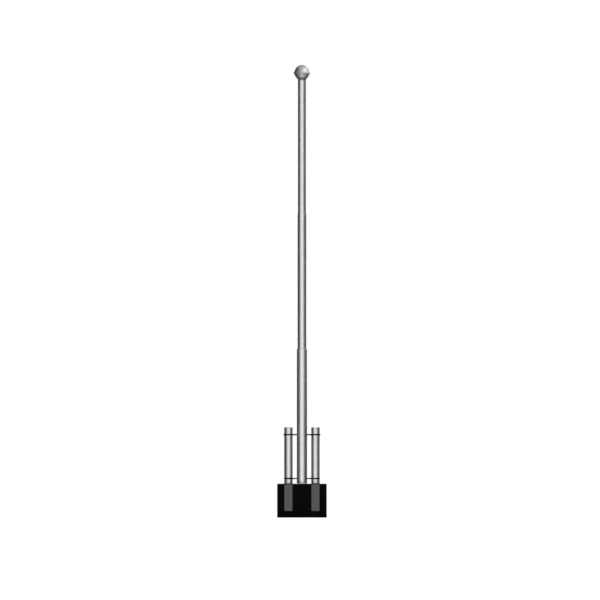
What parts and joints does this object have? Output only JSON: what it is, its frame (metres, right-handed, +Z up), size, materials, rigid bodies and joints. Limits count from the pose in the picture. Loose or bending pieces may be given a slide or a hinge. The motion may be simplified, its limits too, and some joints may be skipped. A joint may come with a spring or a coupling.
{
  "type": "tilting stepped flagpole",
  "caption": "Tall stepped tubular steel flagpole with a rimmed ball on top, tilting on a pivot bolt between short posts that stand in a concrete footing.",
  "frame": {"origin": "middle of the concrete footing's underside", "axes": "+Z up along the upright pole, +X to the right of the front view and along the pivot bolt, +Y away from the front view, the way the pole is lowered"},
  "size_m": [1.47, 1.47, 13.4222],
  "materials": {
    "galvanised_steel": "satin",
    "spun_ball": "satin",
    "black_steel": "satin",
    "black_fasteners": "satin",
    "black_concrete": "matte"
  },
  "bodies": {
    "base": {"concrete_footing": "black_concrete", "left_post": "galvanised_steel", "right_post": "galvanised_steel", "left_post_cap": "galvanised_steel", "right_post_cap": "galvanised_steel", "left_pivot_band": "black_steel", "right_pivot_band": "black_steel", "left_clamp_band": "black_steel", "right_clamp_band": "black_steel", "pivot_bolt": "black_fasteners", "pivot_nut": "black_fasteners", "left_pivot_washer": "black_fasteners", "right_pivot_washer": "black_fasteners", "left_clamp_screw": "black_fasteners", "right_clamp_screw": "black_fasteners", "left_clamp_boss": "black_steel", "right_clamp_boss": "black_steel", "left_clamp_pad": "black_fasteners", "right_clamp_pad": "black_fasteners"},
    "pole": {"heel_plate": "galvanised_steel", "lower_tube": "galvanised_steel", "pivot_sleeve": "black_steel", "lower_weld_bead": "galvanised_steel", "middle_tube": "galvanised_steel", "upper_weld_bead": "galvanised_steel", "upper_tube": "galvanised_steel", "ball_spigot": "galvanised_steel", "ball_lower_half": "spun_ball", "ball_upper_half": "spun_ball"}
  },
  "joints": [
    {"name": "pole_tilt", "type": "hinge", "parent": "base", "child": "pole", "pos_m": [0, 0, 2.459], "axis": [-1, 0, 0], "range_deg": [0, 96]}
  ]
}
